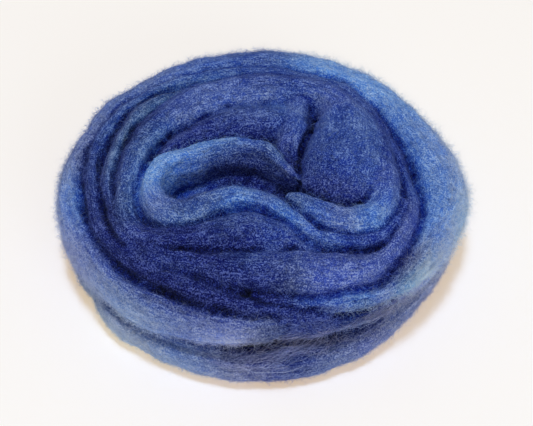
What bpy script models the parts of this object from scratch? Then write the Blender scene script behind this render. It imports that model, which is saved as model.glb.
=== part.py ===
"""Wool roving: one soft, thick, untwisted length wound into a low round nest.

The inner end is folded into two loops at the crown, the turns lie side by side around them,
and the last turn lies over a lower one and thins out at the front. All of it has felted
together into one soft body, so it is one solid: each stretch is swept along its route with
its own oval section, and the stretches are then fused over a filled core.
"""
from math import copysign, cos, radians, sin, tau

import bmesh
import bpy
import numpy as np

MM = 0.001

# Overall sizes (mm). The origin is on the table, under the middle of the nest.
NEST_HALF_WIDTH = 101.0     # along X
NEST_HALF_DEPTH = 98.0      # along Y
SHOULDER_HEIGHT = 28.0      # where the nest is widest
CROWN_HEIGHT = 66.0         # table to the top of the inner folds
CROWN_FULLNESS = 3.0        # higher keeps the crown flat for longer before it falls away
CROWN_ROUNDING = 0.55

# Making of the fused body (mm).
STATION_STEP = 3.0          # along each swept stretch
RING_SIDES = 24             # around each swept section
OVAL_POWER = 2.4            # 2 is an ellipse, higher is squarer
FELT_GRID = 1.4             # how finely the stretches are fused
KEPT_SHARE = 0.075          # of the fused skin's triangles, in the finished body
CORE_HALF_WIDTH = 85.0
CORE_HALF_DEPTH = 82.0
CORE_MIDDLE = 12.0
CORE_HALF_HEIGHT = 34.0
TABLE_CUT = 40.0            # thickness of the block that cuts the flat underside
MIDDLE_X = 0.35             # middle of the wound body's box, in the tables' coordinates
MIDDLE_Y = 0.45

# The folds on the crown, seen from above. A row is one section of the roving: where its
# middle is, half its width, half its height, and how far its top is under the crown's dome.
FOLD_COLUMNS = ("x", "y", "half_width", "half_height", "drop")

TUCKED_END = (              # sunk between the left loop and the ridge
    (-53, -4, 3, 8, 7),
    (-42, 8, 6, 10, 6),
    (-28, 18, 10, 11, 6),
    (-13, 25, 14, 12, 5),
    (0, 27, 14, 12, 5),
    (12, 27, 10, 12, 5),
)
CREASE_SIDE = (             # runs down beside the lobe's crease and dives at the middle
    (18, 44, 8, 12, 4),
    (17, 33, 8, 12, 4),
    (14, 20, 7.5, 12, 4),
    (12, 8, 6.5, 11, 5),
    (12, -4, 5, 10, 8),
    (13, -14, 4, 9, 13),
)
LEFT_LOOP = (               # out along the back of the loop, round, and back along its front
    (10, -17, 4, 8, 12),
    (8, -9, 6, 10, 5),
    (3, -1, 7, 12, 2),
    (-5, 3, 7, 12, 1),
    (-14, 4, 7, 12, 1),
    (-24, 2, 7, 12, 1),
    (-34, -2, 7.5, 12, 1),
    (-45, -8, 7.5, 12, 1),
    (-51, -19, 7, 12, 1),
    (-49, -31, 8, 12, 1),
    (-38, -37, 10.5, 12, 1),
    (-27, -32, 11, 12, 1),
    (-15, -28, 9.5, 12, 1),
    (-5, -28, 8, 12, 1),
    (3, -31, 8, 12, 1),
    (9, -37, 7, 12, 1),
    (15, -44, 6, 12, 1),
    (21, -50, 5.5, 11, 1),
    (28, -54, 5.2, 11, 1),
    (38, -54.5, 5.2, 11, 1),
    (48, -52.5, 4.7, 11, 1),
    (57, -46, 4.3, 10, 2),
    (64, -35, 3.5, 9, 3),
    (67, -24, 2.5, 8, 5),
)
RIGHT_LOOP = (              # from the middle, under the lobe's front, and up around its right side
    (11, -29, 3.5, 8, 5),
    (19, -34, 6, 11, 2),
    (28, -39, 8, 12, 1),
    (38, -41.5, 9, 12, 1),
    (48, -39, 8.5, 12, 1),
    (55, -30, 8, 12, 1),
    (58, -16, 7.5, 12, 1),
    (58, -2, 7, 12, 2),
    (55, 13, 7, 12, 2),
    (51, 27, 6.5, 12, 3),
    (45, 39, 5, 11, 4),
    (36, 48, 4, 10, 6),
)
LOBE_AND_RIDGE = (          # the broad lobe, the ridge behind both loops, and down the left side
    (31, -31, 7, 6, 8),
    (33, -25, 15, 11, 3),
    (36, -14, 18.5, 16, 0),
    (39, 3, 20.5, 17, -2),
    (40, 19, 18, 17, -2),
    (37, 34, 13, 16, -1),
    (29, 45, 12, 15, 0),
    (16, 50, 12, 14, 1),
    (0, 50, 13, 14, 1),
    (-16, 47, 13, 14, 1),
    (-31, 41, 12, 13, 1),
    (-43, 31, 10.5, 13, 1),
    (-53, 19, 9.5, 13, 1),
    (-60, 5, 7.5, 12, 1),
    (-63.5, -9, 5.5, 12, 1),
    (-65, -23, 6, 12, 1),
    (-64, -36, 7, 12, 1),
    (-56, -46, 8, 12, 1),
    (-44, -51, 8, 12, 1),
    (-31, -51, 9, 12, 1),
    (-17, -50, 11, 12, 1),
    (-3, -49, 12, 12, 1),
    (8, -52, 8.5, 11, 1),
    (17, -57, 5, 9, 3),
    (26, -61, 2.5, 7, 4),
)

# The turns around the folds, by compass bearing from above (0 right, 90 back, 180 left,
# 270 front). A row is one section: bearing, distance out, height of its middle, half its
# width and half its height.
TURN_COLUMNS = ("bearing", "out", "height", "half_width", "half_height")

INNER_TURN = (              # hugs the ridge at the left, swells at the front, sinks at the right
    (100, 56, 36, 5, 10),
    (128, 66, 42, 5, 12),
    (150, 70.5, 43, 6, 12),
    (180, 72, 43, 4.5, 12),
    (200, 74.5, 43, 4, 12),
    (219, 77, 42, 3, 12),
    (230, 75.5, 43, 3, 12),
    (240, 71.5, 44, 5, 12),
    (252, 68.5, 45, 7, 12),
    (265, 67.5, 45, 10.5, 12),
    (280, 70, 46, 12, 12),
    (291, 74, 45.5, 11.5, 12),
    (301, 78, 44.5, 9.5, 12),
    (309, 80.5, 42, 7, 12),
    (320, 81, 42, 6, 12),
    (335, 76.5, 41, 5.5, 12),
    (347, 71, 39, 4.5, 12),
    (360, 67.5, 37, 4.5, 12),
    (375, 66, 37, 5.5, 12),
    (390, 66.5, 38, 6, 12),
    (405, 68.5, 39, 7, 12),
    (420, 72, 39, 7, 12),
    (450, 71, 41, 6, 12),
    (475, 73.5, 41, 6, 12),
    (497, 80, 39, 5.5, 12),
    (517, 83, 38, 6, 12),
    (535, 82, 38, 6, 12),
    (552, 81, 39, 4.8, 12),
    (568, 82.5, 38, 6, 12),
    (590, 82, 38, 5, 12),
    (610, 81, 38, 5.5, 12),
    (622, 82.5, 37, 5.5, 11),
    (635, 84.5, 33, 6, 10),
    (648, 85, 30, 8, 9.5),
    (662, 83, 28, 9, 9),
    (680, 80, 26, 9, 8),
    (695, 78, 25, 6, 6),
)
OUTER_TURN = (              # rises at the front, runs once round, and thins out at the front
    (276, 80, 43, 2.5, 6),
    (284, 83.5, 42.5, 3, 7),
    (293, 86.5, 42, 3.5, 8),
    (303, 88.5, 42, 4.5, 9),
    (312, 89, 40, 5.5, 10),
    (322, 87, 38.5, 7, 12),
    (332, 88.5, 36, 8.5, 14),
    (345, 87, 33.5, 12.5, 16),
    (360, 86.5, 33, 14, 17),
    (375, 83.5, 33, 13.5, 17),
    (390, 82, 33, 12.5, 16.5),
    (405, 84.5, 33, 12, 16),
    (420, 84.5, 34, 11.5, 16),
    (450, 86, 34, 11.5, 16),
    (470, 88, 34, 10.5, 16),
    (490, 90, 33, 8.5, 16),
    (507, 88, 32, 7.5, 16),
    (520, 90, 32, 7, 16),
    (535, 92.5, 32, 7, 16),
    (552, 92.5, 31, 7.8, 15),
    (568, 91.5, 31, 7, 14),
    (590, 92, 31, 6.8, 13),
    (610, 90, 31, 6.5, 12),
    (626, 90, 32, 5.5, 10),
    (638, 88.5, 33, 4.5, 7.5),
    (648, 87.5, 34, 3, 4.5),
)
FLOOR_TURN = (              # lies on the table under the outer turn, all the way round
    (-12, 82, 11.5, 13, 12.5),
    (30, 81, 11.5, 13, 12.5),
    (90, 83, 11.5, 13, 12.5),
    (150, 82, 11.5, 13, 12.5),
    (190, 83, 11.5, 12.5, 12.5),
    (212, 82, 11.5, 12.5, 12),
    (226, 84.5, 11.5, 12.5, 12),
    (247, 80.5, 11.5, 12.5, 12),
    (263, 84.5, 12, 12.5, 12.5),
    (276, 83.5, 12, 12.5, 12.5),
    (290, 83, 12, 12.5, 12.5),
    (303, 81.5, 11.5, 12.5, 12),
    (318, 78, 11.5, 12.5, 12),
    (348, 82, 11.5, 13, 12.5),
    (390, 81, 11.5, 13, 12.5),
)

WOOL_BLUE = (0.055, 0.105, 0.33, 1.0)


def through(rows, step):
    """A smooth run of values through the table's rows, with a station about every step."""
    rows = np.array(rows, dtype=float)
    padded = np.vstack([2 * rows[0] - rows[1], rows, 2 * rows[-1] - rows[-2]])
    stations = []
    for before, start, end, after in zip(padded, padded[1:], padded[2:], padded[3:]):
        count = max(2, round(float(np.linalg.norm((end - start)[:2])) / step))
        for t in np.arange(count) / count:
            stations.append(0.5 * (2 * start + (end - before) * t
                                   + (2 * before - 5 * start + 4 * end - after) * t ** 2
                                   + (3 * start - before - 3 * end + after) * t ** 3))
    stations.append(rows[-1])
    return np.array(stations)


def dome_height(x, y):
    """Height of the crown's smooth dome over a point of the table."""
    reach = np.hypot(x / NEST_HALF_WIDTH, y / NEST_HALF_DEPTH)
    fall = np.clip(1 - reach ** CROWN_FULLNESS, 0, 1) ** CROWN_ROUNDING
    return SHOULDER_HEIGHT + (CROWN_HEIGHT - SHOULDER_HEIGHT) * fall


def fold_sections(rows):
    """Middle (x, y, z), half width and half height of each section of a fold."""
    x, y, half_width, half_height, drop = through(rows, STATION_STEP).T
    z = dome_height(x, y) - drop - half_height
    return np.column_stack([x, y, z]), half_width, half_height


def turn_sections(rows):
    """The same for a turn that is given by compass bearings."""
    placed = []
    for bearing, out, height, half_width, half_height in rows:
        angle = radians(bearing)
        placed.append((out * cos(angle), out * sin(angle), height, half_width, half_height))
    x, y, z, half_width, half_height = through(placed, STATION_STEP).T
    return np.column_stack([x, y, z]), half_width, half_height


def squared_off(unit):
    """A circle's sine or cosine, made that of a slightly squarer oval."""
    return copysign(abs(unit) ** (2 / OVAL_POWER), unit)


def sweep(bm, sections):
    """Loft one closed oval body through the sections, upright along its route."""
    middles, half_widths, half_heights = sections
    along = np.gradient(middles[:, :2], axis=0)
    along /= np.linalg.norm(along, axis=1)[:, None]
    rings = []
    for middle, (run_x, run_y), half_width, half_height in zip(
            middles, along, half_widths, half_heights):
        ring = []
        for k in range(RING_SIDES):
            angle = tau * k / RING_SIDES
            aside = half_width * squared_off(cos(angle))
            point = (middle[0] + run_y * aside,
                     middle[1] - run_x * aside,
                     middle[2] + half_height * squared_off(sin(angle)))
            ring.append(bm.verts.new([c * MM for c in point]))
        rings.append(ring)
    for ring, following in zip(rings, rings[1:]):
        for k in range(RING_SIDES):
            after = (k + 1) % RING_SIDES
            bm.faces.new((ring[k], ring[after], following[after], following[k]))
    bm.faces.new(rings[0][::-1])
    bm.faces.new(rings[-1])


def core(bm):
    """The filled middle that the folds and turns lie on."""
    ball = bmesh.ops.create_uvsphere(bm, u_segments=64, v_segments=32, radius=1.0)["verts"]
    bmesh.ops.scale(bm, verts=ball, vec=(CORE_HALF_WIDTH * MM, CORE_HALF_DEPTH * MM,
                                         CORE_HALF_HEIGHT * MM))
    bmesh.ops.translate(bm, verts=ball, vec=(0, 0, CORE_MIDDLE * MM))


def new_object(name, bm, collection):
    bmesh.ops.recalc_face_normals(bm, faces=bm.faces)
    mesh = bpy.data.meshes.new(name)
    bm.to_mesh(mesh)
    bm.free()
    obj = bpy.data.objects.new(name, mesh)
    collection.objects.link(obj)
    return obj


def table_cutter(collection):
    """A block whose top face is the table: it gives the body its flat underside."""
    bm = bmesh.new()
    bmesh.ops.create_cube(bm, size=1.0)
    side = 3 * NEST_HALF_WIDTH * MM
    bmesh.ops.scale(bm, verts=bm.verts, vec=(side, side, TABLE_CUT * MM))
    bmesh.ops.translate(bm, verts=bm.verts, vec=(0, 0, -TABLE_CUT / 2 * MM))
    cutter = new_object("table_cut", bm, collection)
    cutter.hide_render = True
    cutter.display_type = "WIRE"
    return cutter


def wool():
    material = bpy.data.materials.new("blue_wool")
    material.use_nodes = True
    shader = material.node_tree.nodes["Principled BSDF"]
    shader.inputs["Base Color"].default_value = WOOL_BLUE
    shader.inputs["Roughness"].default_value = 0.95
    shader.inputs["Metallic"].default_value = 0.0
    return material


def roving(parts, cutters):
    bm = bmesh.new()
    for rows in (TUCKED_END, CREASE_SIDE, LEFT_LOOP, RIGHT_LOOP, LOBE_AND_RIDGE):
        sweep(bm, fold_sections(rows))
    for rows in (INNER_TURN, OUTER_TURN, FLOOR_TURN):
        sweep(bm, turn_sections(rows))
    core(bm)
    bmesh.ops.translate(bm, verts=bm.verts, vec=(-MIDDLE_X * MM, -MIDDLE_Y * MM, 0))
    obj = new_object("roving", bm, parts)
    obj.data.materials.append(wool())

    fuse = obj.modifiers.new("fuse", "REMESH")
    fuse.mode = "VOXEL"
    fuse.voxel_size = FELT_GRID * MM
    ease = obj.modifiers.new("ease", "SMOOTH")
    ease.factor = 0.5
    ease.iterations = 2
    thin = obj.modifiers.new("thin", "DECIMATE")
    thin.ratio = KEPT_SHARE
    cut = obj.modifiers.new("flat_underside", "BOOLEAN")
    cut.operation = "DIFFERENCE"
    cut.object = table_cutter(cutters)
    return obj


def main():
    for obj in list(bpy.data.objects):
        bpy.data.objects.remove(obj, do_unlink=True)
    parts = bpy.data.collections.new("wool_roving")
    cutters = bpy.data.collections.new("cutters")
    bpy.context.scene.collection.children.link(parts)
    bpy.context.scene.collection.children.link(cutters)
    roving(parts, cutters)


main()
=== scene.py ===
"""Blue wool roving, wound into a low nest: felted skin, coat of fibres and loose wisps."""
from math import cos, pi, radians, sin, tau

import bpy
import numpy as np
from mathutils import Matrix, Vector, noise
from mathutils.bvhtree import BVHTree
from mathutils.kdtree import KDTree


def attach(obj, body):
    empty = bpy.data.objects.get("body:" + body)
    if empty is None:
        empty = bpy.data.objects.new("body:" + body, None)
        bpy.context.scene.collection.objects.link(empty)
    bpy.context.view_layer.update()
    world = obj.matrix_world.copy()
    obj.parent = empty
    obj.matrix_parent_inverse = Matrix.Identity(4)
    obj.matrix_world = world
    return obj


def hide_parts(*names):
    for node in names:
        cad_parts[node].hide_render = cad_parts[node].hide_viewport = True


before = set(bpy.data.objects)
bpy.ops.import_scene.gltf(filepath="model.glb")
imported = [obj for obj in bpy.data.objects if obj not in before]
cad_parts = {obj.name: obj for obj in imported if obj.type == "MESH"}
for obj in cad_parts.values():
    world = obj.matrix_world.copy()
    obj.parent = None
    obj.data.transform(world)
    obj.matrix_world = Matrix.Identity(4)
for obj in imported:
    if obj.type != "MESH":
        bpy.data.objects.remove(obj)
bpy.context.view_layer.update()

MM = 0.001
NEARLY_NONE = 1e-12

# -------- the wound form (mm)
NEST_HALF_WIDTH = 101.0  # along X
NEST_HALF_DEPTH = 98.0  # along Y
SHOULDER_HEIGHT = 28.0  # where the nest is widest
CROWN_HEIGHT = 66.0     # table to the top of the inner folds
CROWN_FULLNESS = 3.0    # higher keeps the crown flat for longer before it falls away
CROWN_ROUNDING = 0.55
CORE_HALF_WIDTH = 85.0  # the filled middle under the folds and turns
CORE_HALF_DEPTH = 82.0
CORE_MIDDLE = 12.0
CORE_HALF_HEIGHT = 34.0
MIDDLE_X = 0.35         # middle of the wound body's box, in the tables' coordinates
MIDDLE_Y = 0.45
OVAL_POWER = 2.4        # 2 is an ellipse, higher is squarer

STATION_STEP = 2.0      # along each swept stretch
RING_SIDES = 48         # around each swept section
FELT_GRID = 1.1         # the grid on which the stretches are fused
GRID_SMOOTHING = 2      # rounds that take its steps off the skin

# Combed wool shows soft ridges along each stretch, a few mm apart, and slow lumps.
RIDGE_SPACINGS = (5.5, 8.5, 13.0)  # mm between ridges, around the section
RIDGE_RISE = 0.28       # mm, each set of ridges
RIDGE_DRIFT = 70.0      # mm along the stretch over which a ridge wanders
RIDGE_WANDER = 1.3      # radians round the section that it wanders
LUMP_LENGTHS = (17.0, 29.0, 47.0)  # mm
LUMP_RISE = 0.22        # mm, each length of lump

# The dyes that the tables name. Where the tables give the darkest to hollows, creases and
# partings they are partly painted shade, and where they give the palest to outer edges and
# crests, partly painted light.
DYES = {
    "frost": "DCEEFF",
    "ice": "C2E2FC",
    "pale": "9CC8F2",
    "sky": "86B4EE",
    "azure": "6F9CE0",
    "cornflower": "658BD6",
    "steel": "7C98D6",
    "lavender": "8599CE",
    "periwinkle": "6880CE",
    "denim": "587AC4",
    "royal": "4768BC",
    "cobalt": "3A55AC",
    "violet": "526EBE",
    "purple": "4559A8",
    "indigo": "34479A",
    "navy": "28388A",
    "midnight": "1E2A78",
    "slate": "5265A4",
    "dusk": "6283C0",
    "haze": "AEBFF2",
    "mist": "B0CCF6",
    "hyacinth": "94AEEA",
    "lilac": "A6ACE0",
}
# A stretch shows its second dye most on its right or outer side, this many degrees above
# level. In the two lowest turns it shows most low on the outer side, where their pale second
# dyes are partly painted light from the white table below.
DYE_LEAN = 25.0
OUTER_DYE_LEAN = -45.0
FLOOR_DYE_LEAN = -80.0

# The folds on the crown, seen from above. A row is one section of the roving: where its
# middle is, half its width, half its height, how far its top is under the crown's dome, and
# the dye on the left and on the right of its run. Their deepest dyes, where a fold runs into
# a hollow or a crease, are partly painted shade.
TUCKED_END = (
    (-53, -4, 3, 8, 7, "purple", "purple"),
    (-42, 8, 6, 10, 6, "indigo", "purple"),
    (-28, 18, 10, 11, 6, "indigo", "indigo"),
    (-13, 25, 14, 12, 5, "denim", "indigo"),
    (0, 27, 14, 12, 5, "cornflower", "indigo"),
    (12, 27, 10, 12, 5, "azure", "cobalt"),
)
CREASE_SIDE = (
    (19, 44, 8, 12, 4, "periwinkle", "violet"),
    (18.5, 33, 8, 12, 4, "denim", "violet"),
    (15.5, 20, 7.5, 12, 4, "denim", "violet"),
    (12.5, 8, 6.5, 11, 5, "violet", "purple"),
    (12, -4, 5, 10, 8, "indigo", "indigo"),
    (13, -14, 4, 9, 13, "navy", "navy"),
)
LEFT_LOOP = (
    (19, -14, 2, 6, 11, "navy", "denim"),
    (14.5, -12, 3, 8, 7, "indigo", "periwinkle"),
    (9, -7, 4, 10, 4, "indigo", "dusk"),
    (3, -0.5, 5.2, 12, 2, "indigo", "dusk"),
    (-5, 2, 5.8, 12, 1, "indigo", "cornflower"),
    (-14, 2.8, 6, 12, 1, "indigo", "azure"),
    (-24, 0.5, 6.2, 12, 1, "cobalt", "sky"),
    (-34, -3.5, 6.6, 12, 1, "cornflower", "sky"),
    (-45.5, -7.6, 7.0, 12, 1, "azure", "sky"),
    (-51.3, -19, 6.6, 12, 1, "azure", "sky"),
    (-48, -32, 8, 12, 1, "steel", "steel"),
    (-36, -39, 10.8, 12, 1, "purple", "dusk"),
    (-25, -34.5, 10, 12, 1, "purple", "dusk"),
    (-14, -31, 7.5, 12, 1, "indigo", "azure"),
    (-5, -31.7, 6.1, 12, 1, "indigo", "azure"),
    (3, -35, 6, 12, 1, "navy", "cornflower"),
    (9, -40, 6.2, 12, 1, "cobalt", "azure"),
    (15, -44.5, 6, 12, 1, "cobalt", "azure"),
    (21, -50, 5.5, 11, 1, "royal", "cornflower"),
    (28, -54, 5.2, 11, 1, "cobalt", "denim"),
    (38, -54.5, 5.2, 11, 1, "cobalt", "royal"),
    (48, -52.5, 4.7, 11, 1, "cobalt", "cobalt"),
    (57, -46, 4.3, 10, 2, "royal", "cobalt"),
    (64, -35, 3.5, 9, 3, "cobalt", "cobalt"),
    (67, -24, 2.5, 8, 5, "cobalt", "indigo"),
)
RIGHT_LOOP = (
    (11, -29, 3.5, 8, 5, "cobalt", "dusk"),
    (19, -34, 6, 11, 2, "indigo", "dusk"),
    (28, -39, 8, 12, 1, "indigo", "cornflower"),
    (38, -41.5, 9, 12, 1, "indigo", "steel"),
    (48, -39, 8.5, 12, 1, "denim", "azure"),
    (55, -30, 8, 12, 1, "violet", "cornflower"),
    (58, -16, 7.5, 12, 1, "periwinkle", "violet"),
    (58, -2, 7, 12, 2, "denim", "cobalt"),
    (55, 13, 7, 12, 2, "cobalt", "cobalt"),
    (51, 27, 6.5, 12, 3, "cobalt", "cobalt"),
    (45, 39, 5, 11, 4, "cobalt", "cobalt"),
    (36, 48, 4, 10, 6, "cobalt", "cobalt"),
)
LOBE_AND_RIDGE = (
    (31, -31, 7, 6, 8, "navy", "purple"),
    (33, -25, 15, 11, 3, "navy", "purple"),
    (36, -14, 18.5, 16, 0, "indigo", "royal"),
    (39.5, 3, 20, 17, -2, "cobalt", "denim"),
    (41, 19, 17, 17, -2, "violet", "denim"),
    (38.5, 34, 12, 16, -1, "periwinkle", "violet"),
    (30, 45, 11.5, 15, 0, "steel", "violet"),
    (16, 50, 12, 14, 1, "denim", "cobalt"),
    (0, 50, 13, 14, 1, "steel", "cobalt"),
    (-16, 47, 13, 14, 1, "steel", "violet"),
    (-31, 41, 12, 13, 1, "steel", "violet"),
    (-43, 31, 10.5, 13, 1, "steel", "cobalt"),
    (-53, 19, 9.5, 13, 1, "azure", "navy"),
    (-59.5, 5, 8, 12, 1, "sky", "navy"),
    (-62.5, -9, 6.5, 12, 1, "sky", "indigo"),
    (-63.5, -23, 7.5, 12, 1, "sky", "navy"),
    (-62.5, -36, 8.5, 12, 1, "azure", "midnight"),
    (-56, -47, 8, 12, 1, "purple", "indigo"),
    (-44, -52, 8, 12, 1, "indigo", "navy"),
    (-31, -51.5, 9, 12, 1, "indigo", "navy"),
    (-17, -50, 11, 12, 1, "denim", "navy"),
    (-3, -49, 12, 12, 1, "denim", "indigo"),
    (8, -52, 8.5, 11, 1, "denim", "cobalt"),
    (17, -57, 5, 9, 3, "cornflower", "purple"),
    (26, -61, 2.5, 7, 4, "cornflower", "royal"),
)

# The turns around the folds, by compass bearing from above (0 right, 90 back, 180 left,
# 270 front). A row is one section: bearing, distance out, height of its middle, half its
# width, half its height, and the dye on its inner and on its outer side. Their deepest dyes,
# along the partings under the turn above, are partly painted shade.
INNER_TURN = (
    (100, 56, 36, 5, 10, "cobalt", "cobalt"),
    (128, 66, 42, 5, 12, "sky", "midnight"),
    (150, 70.5, 43, 6, 12, "pale", "navy"),
    (180, 72, 43, 4.5, 12, "pale", "navy"),
    (200, 74.5, 43, 4, 12, "cornflower", "navy"),
    (219, 77, 42, 3, 12, "navy", "midnight"),
    (230, 75.5, 43, 3, 12, "midnight", "indigo"),
    (240, 71.5, 44, 5, 12, "midnight", "indigo"),
    (252, 68.5, 45, 7, 12, "midnight", "navy"),
    (265, 67, 45, 9.8, 12, "denim", "navy"),
    (273, 67.5, 45.5, 10.2, 12, "violet", "indigo"),
    (282, 69, 46, 11, 12, "violet", "slate"),
    (291, 73.2, 45.5, 11, 12, "indigo", "periwinkle"),
    (301, 78.5, 44.5, 9.3, 12, "midnight", "periwinkle"),
    (309, 81, 42.5, 7, 12, "midnight", "periwinkle"),
    (320, 79.8, 42, 5.4, 12, "midnight", "periwinkle"),
    (335, 76.3, 41, 4.9, 12, "midnight", "periwinkle"),
    (347, 71.5, 39, 4.5, 12, "royal", "royal"),
    (360, 67.5, 37, 4.5, 12, "royal", "cobalt"),
    (375, 66, 37, 5.5, 12, "cobalt", "cobalt"),
    (390, 66.5, 38, 6, 12, "navy", "cobalt"),
    (405, 68.5, 39, 7, 12, "navy", "royal"),
    (420, 72, 39, 7, 12, "indigo", "denim"),
    (450, 71, 41, 6, 12, "royal", "denim"),
    (475, 73.5, 41, 6, 12, "sky", "cobalt"),
    (497, 80, 39, 5.5, 12, "sky", "purple"),
    (517, 83, 38, 6, 12, "azure", "indigo"),
    (535, 82, 38, 6, 12, "cornflower", "navy"),
    (552, 81, 39, 4.8, 12, "denim", "navy"),
    (568, 82.5, 38, 6, 12, "purple", "navy"),
    (590, 82, 38, 5, 12, "indigo", "midnight"),
    (610, 81, 38, 5.5, 12, "indigo", "midnight"),
    (622, 82.5, 37, 5.5, 11, "navy", "midnight"),
    (635, 84.5, 34, 6, 10, "midnight", "indigo"),
    (648, 85, 33.6, 8, 7.7, "midnight", "indigo"),
    (662, 85, 31.5, 9, 7.0, "midnight", "indigo"),
    (680, 85.5, 28.8, 9, 6.2, "navy", "haze"),
    (695, 87, 26.0, 9, 5.9, "haze", "mist"),
    (708, 88.5, 23.5, 8.5, 5.5, "haze", "mist"),
    (720, 88, 21.4, 7, 5.1, "haze", "mist"),
    (732, 85, 18, 5, 5, "haze", "haze"),
)
OUTER_TURN = (
    (266, 78.5, 44.5, 1.2, 1.5, "navy", "navy"),
    (276, 80.6, 44.1, 2.0, 2.2, "navy", "indigo"),
    (284, 84.3, 43.0, 2.5, 2.7, "denim", "indigo"),
    (292, 88.5, 43.2, 3.3, 3.9, "cornflower", "violet"),
    (299, 91.8, 43.8, 3.9, 4.7, "azure", "dusk"),
    (305, 92.6, 42.6, 4.2, 5.0, "denim", "steel"),
    (312, 91.5, 42.0, 5.4, 6.9, "navy", "pale"),
    (320, 90, 41.0, 6.8, 9.6, "indigo", "ice"),
    (332, 89, 38.2, 8.5, 12.6, "azure", "mist"),
    (345, 88, 35, 11.5, 15, "azure", "ice"),
    (360, 86.2, 34, 14.2, 16, "azure", "frost"),
    (375, 82.4, 33, 14, 17, "azure", "frost"),
    (390, 81.0, 33, 12.8, 16.5, "azure", "ice"),
    (405, 84.3, 33, 12, 16, "sky", "ice"),
    (420, 84.5, 34, 11.5, 16, "sky", "ice"),
    (432, 85.4, 34, 11.5, 16, "sky", "ice"),
    (448, 86, 34, 11.5, 16, "denim", "steel"),
    (470, 87.3, 33.5, 10.5, 16, "cornflower", "lavender"),
    (490, 88.4, 32, 8.5, 16, "steel", "lavender"),
    (507, 90.4, 31.5, 8.4, 16, "steel", "violet"),
    (520, 88.9, 32, 7.5, 16, "lavender", "periwinkle"),
    (535, 91.8, 32, 7, 16, "lavender", "lavender"),
    (552, 92.3, 31, 7.8, 15, "azure", "haze"),
    (568, 90.8, 31, 7, 14, "royal", "haze"),
    (590, 91.3, 32, 6.8, 12, "cobalt", "mist"),
    (608, 90.3, 33.5, 6.5, 10.5, "indigo", "hyacinth"),
    (622, 90, 34.5, 5.5, 9, "cobalt", "haze"),
    (632, 89, 35, 4.2, 7, "slate", "slate"),
    (641, 88, 35.5, 2.4, 3.5, "purple", "purple"),
)
FLOOR_TURN = (
    (-12, 82, 11.5, 13, 12.5, "lavender", "haze"),
    (30, 81, 11.5, 13, 12.5, "sky", "sky"),
    (90, 83, 11.5, 13, 12.5, "royal", "royal"),
    (150, 82, 11.5, 13, 12.5, "purple", "steel"),
    (190, 82.5, 11.5, 12.5, 12.5, "slate", "haze"),
    (212, 81.3, 11.5, 12.5, 12, "denim", "frost"),
    (226, 84.2, 11.5, 12.5, 12, "lavender", "frost"),
    (247, 83.0, 12, 12.5, 13, "denim", "mist"),
    (263, 83.8, 12.2, 12.5, 12.8, "midnight", "haze"),
    (276, 83.6, 12.6, 12.5, 12.4, "midnight", "periwinkle"),
    (290, 82.5, 12.2, 12.5, 12.0, "midnight", "hyacinth"),
    (303, 81.5, 11.6, 12.5, 11.3, "purple", "haze"),
    (318, 78.6, 10.4, 12.5, 10.2, "lavender", "haze"),
    (348, 80.4, 10.0, 13, 10.0, "lavender", "haze"),
    (390, 81, 11.5, 13, 12.5, "sky", "sky"),
)


# -------- colour
def linear(hex_colour):
    """An sRGB hex colour as three linear numbers."""
    channels = [int(hex_colour[i:i + 2], 16) / 255 for i in (0, 2, 4)]
    return [c / 12.92 if c <= 0.04045 else ((c + 0.055) / 1.055) ** 2.4 for c in channels]


# -------- sweeping the stretches
def through(rows, step):
    """A smooth run of values through the table's rows, with a station about every step."""
    rows = np.array(rows, dtype=float)
    padded = np.vstack([2 * rows[0] - rows[1], rows, 2 * rows[-1] - rows[-2]])
    stations = []
    for before, start, end, after in zip(padded, padded[1:], padded[2:], padded[3:]):
        count = max(2, round(float(np.linalg.norm((end - start)[:2])) / step))
        for t in np.arange(count) / count:
            stations.append(0.5 * (2 * start + (end - before) * t
                                   + (2 * before - 5 * start + 4 * end - after) * t ** 2
                                   + (3 * start - before - 3 * end + after) * t ** 3))
    stations.append(rows[-1])
    return np.array(stations)


def outwards(places):
    """How far out places (mm) are: 0 in the middle of the nest, 1 at its edge."""
    return np.hypot(places[..., 0] / NEST_HALF_WIDTH, places[..., 1] / NEST_HALF_DEPTH)


def dome_height(x, y):
    """Height of the crown's smooth dome over a point of the table."""
    reach = outwards(np.stack([x, y], axis=-1))
    fall = np.clip(1 - reach ** CROWN_FULLNESS, 0, 1) ** CROWN_ROUNDING
    return SHOULDER_HEIGHT + (CROWN_HEIGHT - SHOULDER_HEIGHT) * fall


def fold_stations(rows):
    """x, y, z of the middle, half width, half height and the two dyes, at each station."""
    plain = [(*row[:5], *linear(DYES[row[5]]), *linear(DYES[row[6]])) for row in rows]
    stations = through(plain, STATION_STEP)
    x, y, half_height, drop = stations[:, [0, 1, 3, 4]].T
    z = dome_height(x, y) - drop - half_height
    return np.column_stack([x, y, z, stations[:, 2:4], stations[:, 5:].clip(0, 1)])


def turn_stations(rows):
    """The same for a turn that is given by compass bearings."""
    plain = []
    for bearing, out, height, half_width, half_height, inner, outer in rows:
        angle = radians(bearing)
        plain.append((out * cos(angle), out * sin(angle), height, half_width, half_height,
                      *linear(DYES[inner]), *linear(DYES[outer])))
    stations = through(plain, STATION_STEP)
    return np.column_stack([stations[:, :5], stations[:, 5:].clip(0, 1)])


def waves(lengths, rise, place, rng):
    """A sum of sine waves of these lengths (mm) along place, each of about this rise (mm)."""
    total = 0
    for length in lengths:
        total = total + rise * np.sin(tau * (place / length + rng.random()))
    return total


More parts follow.
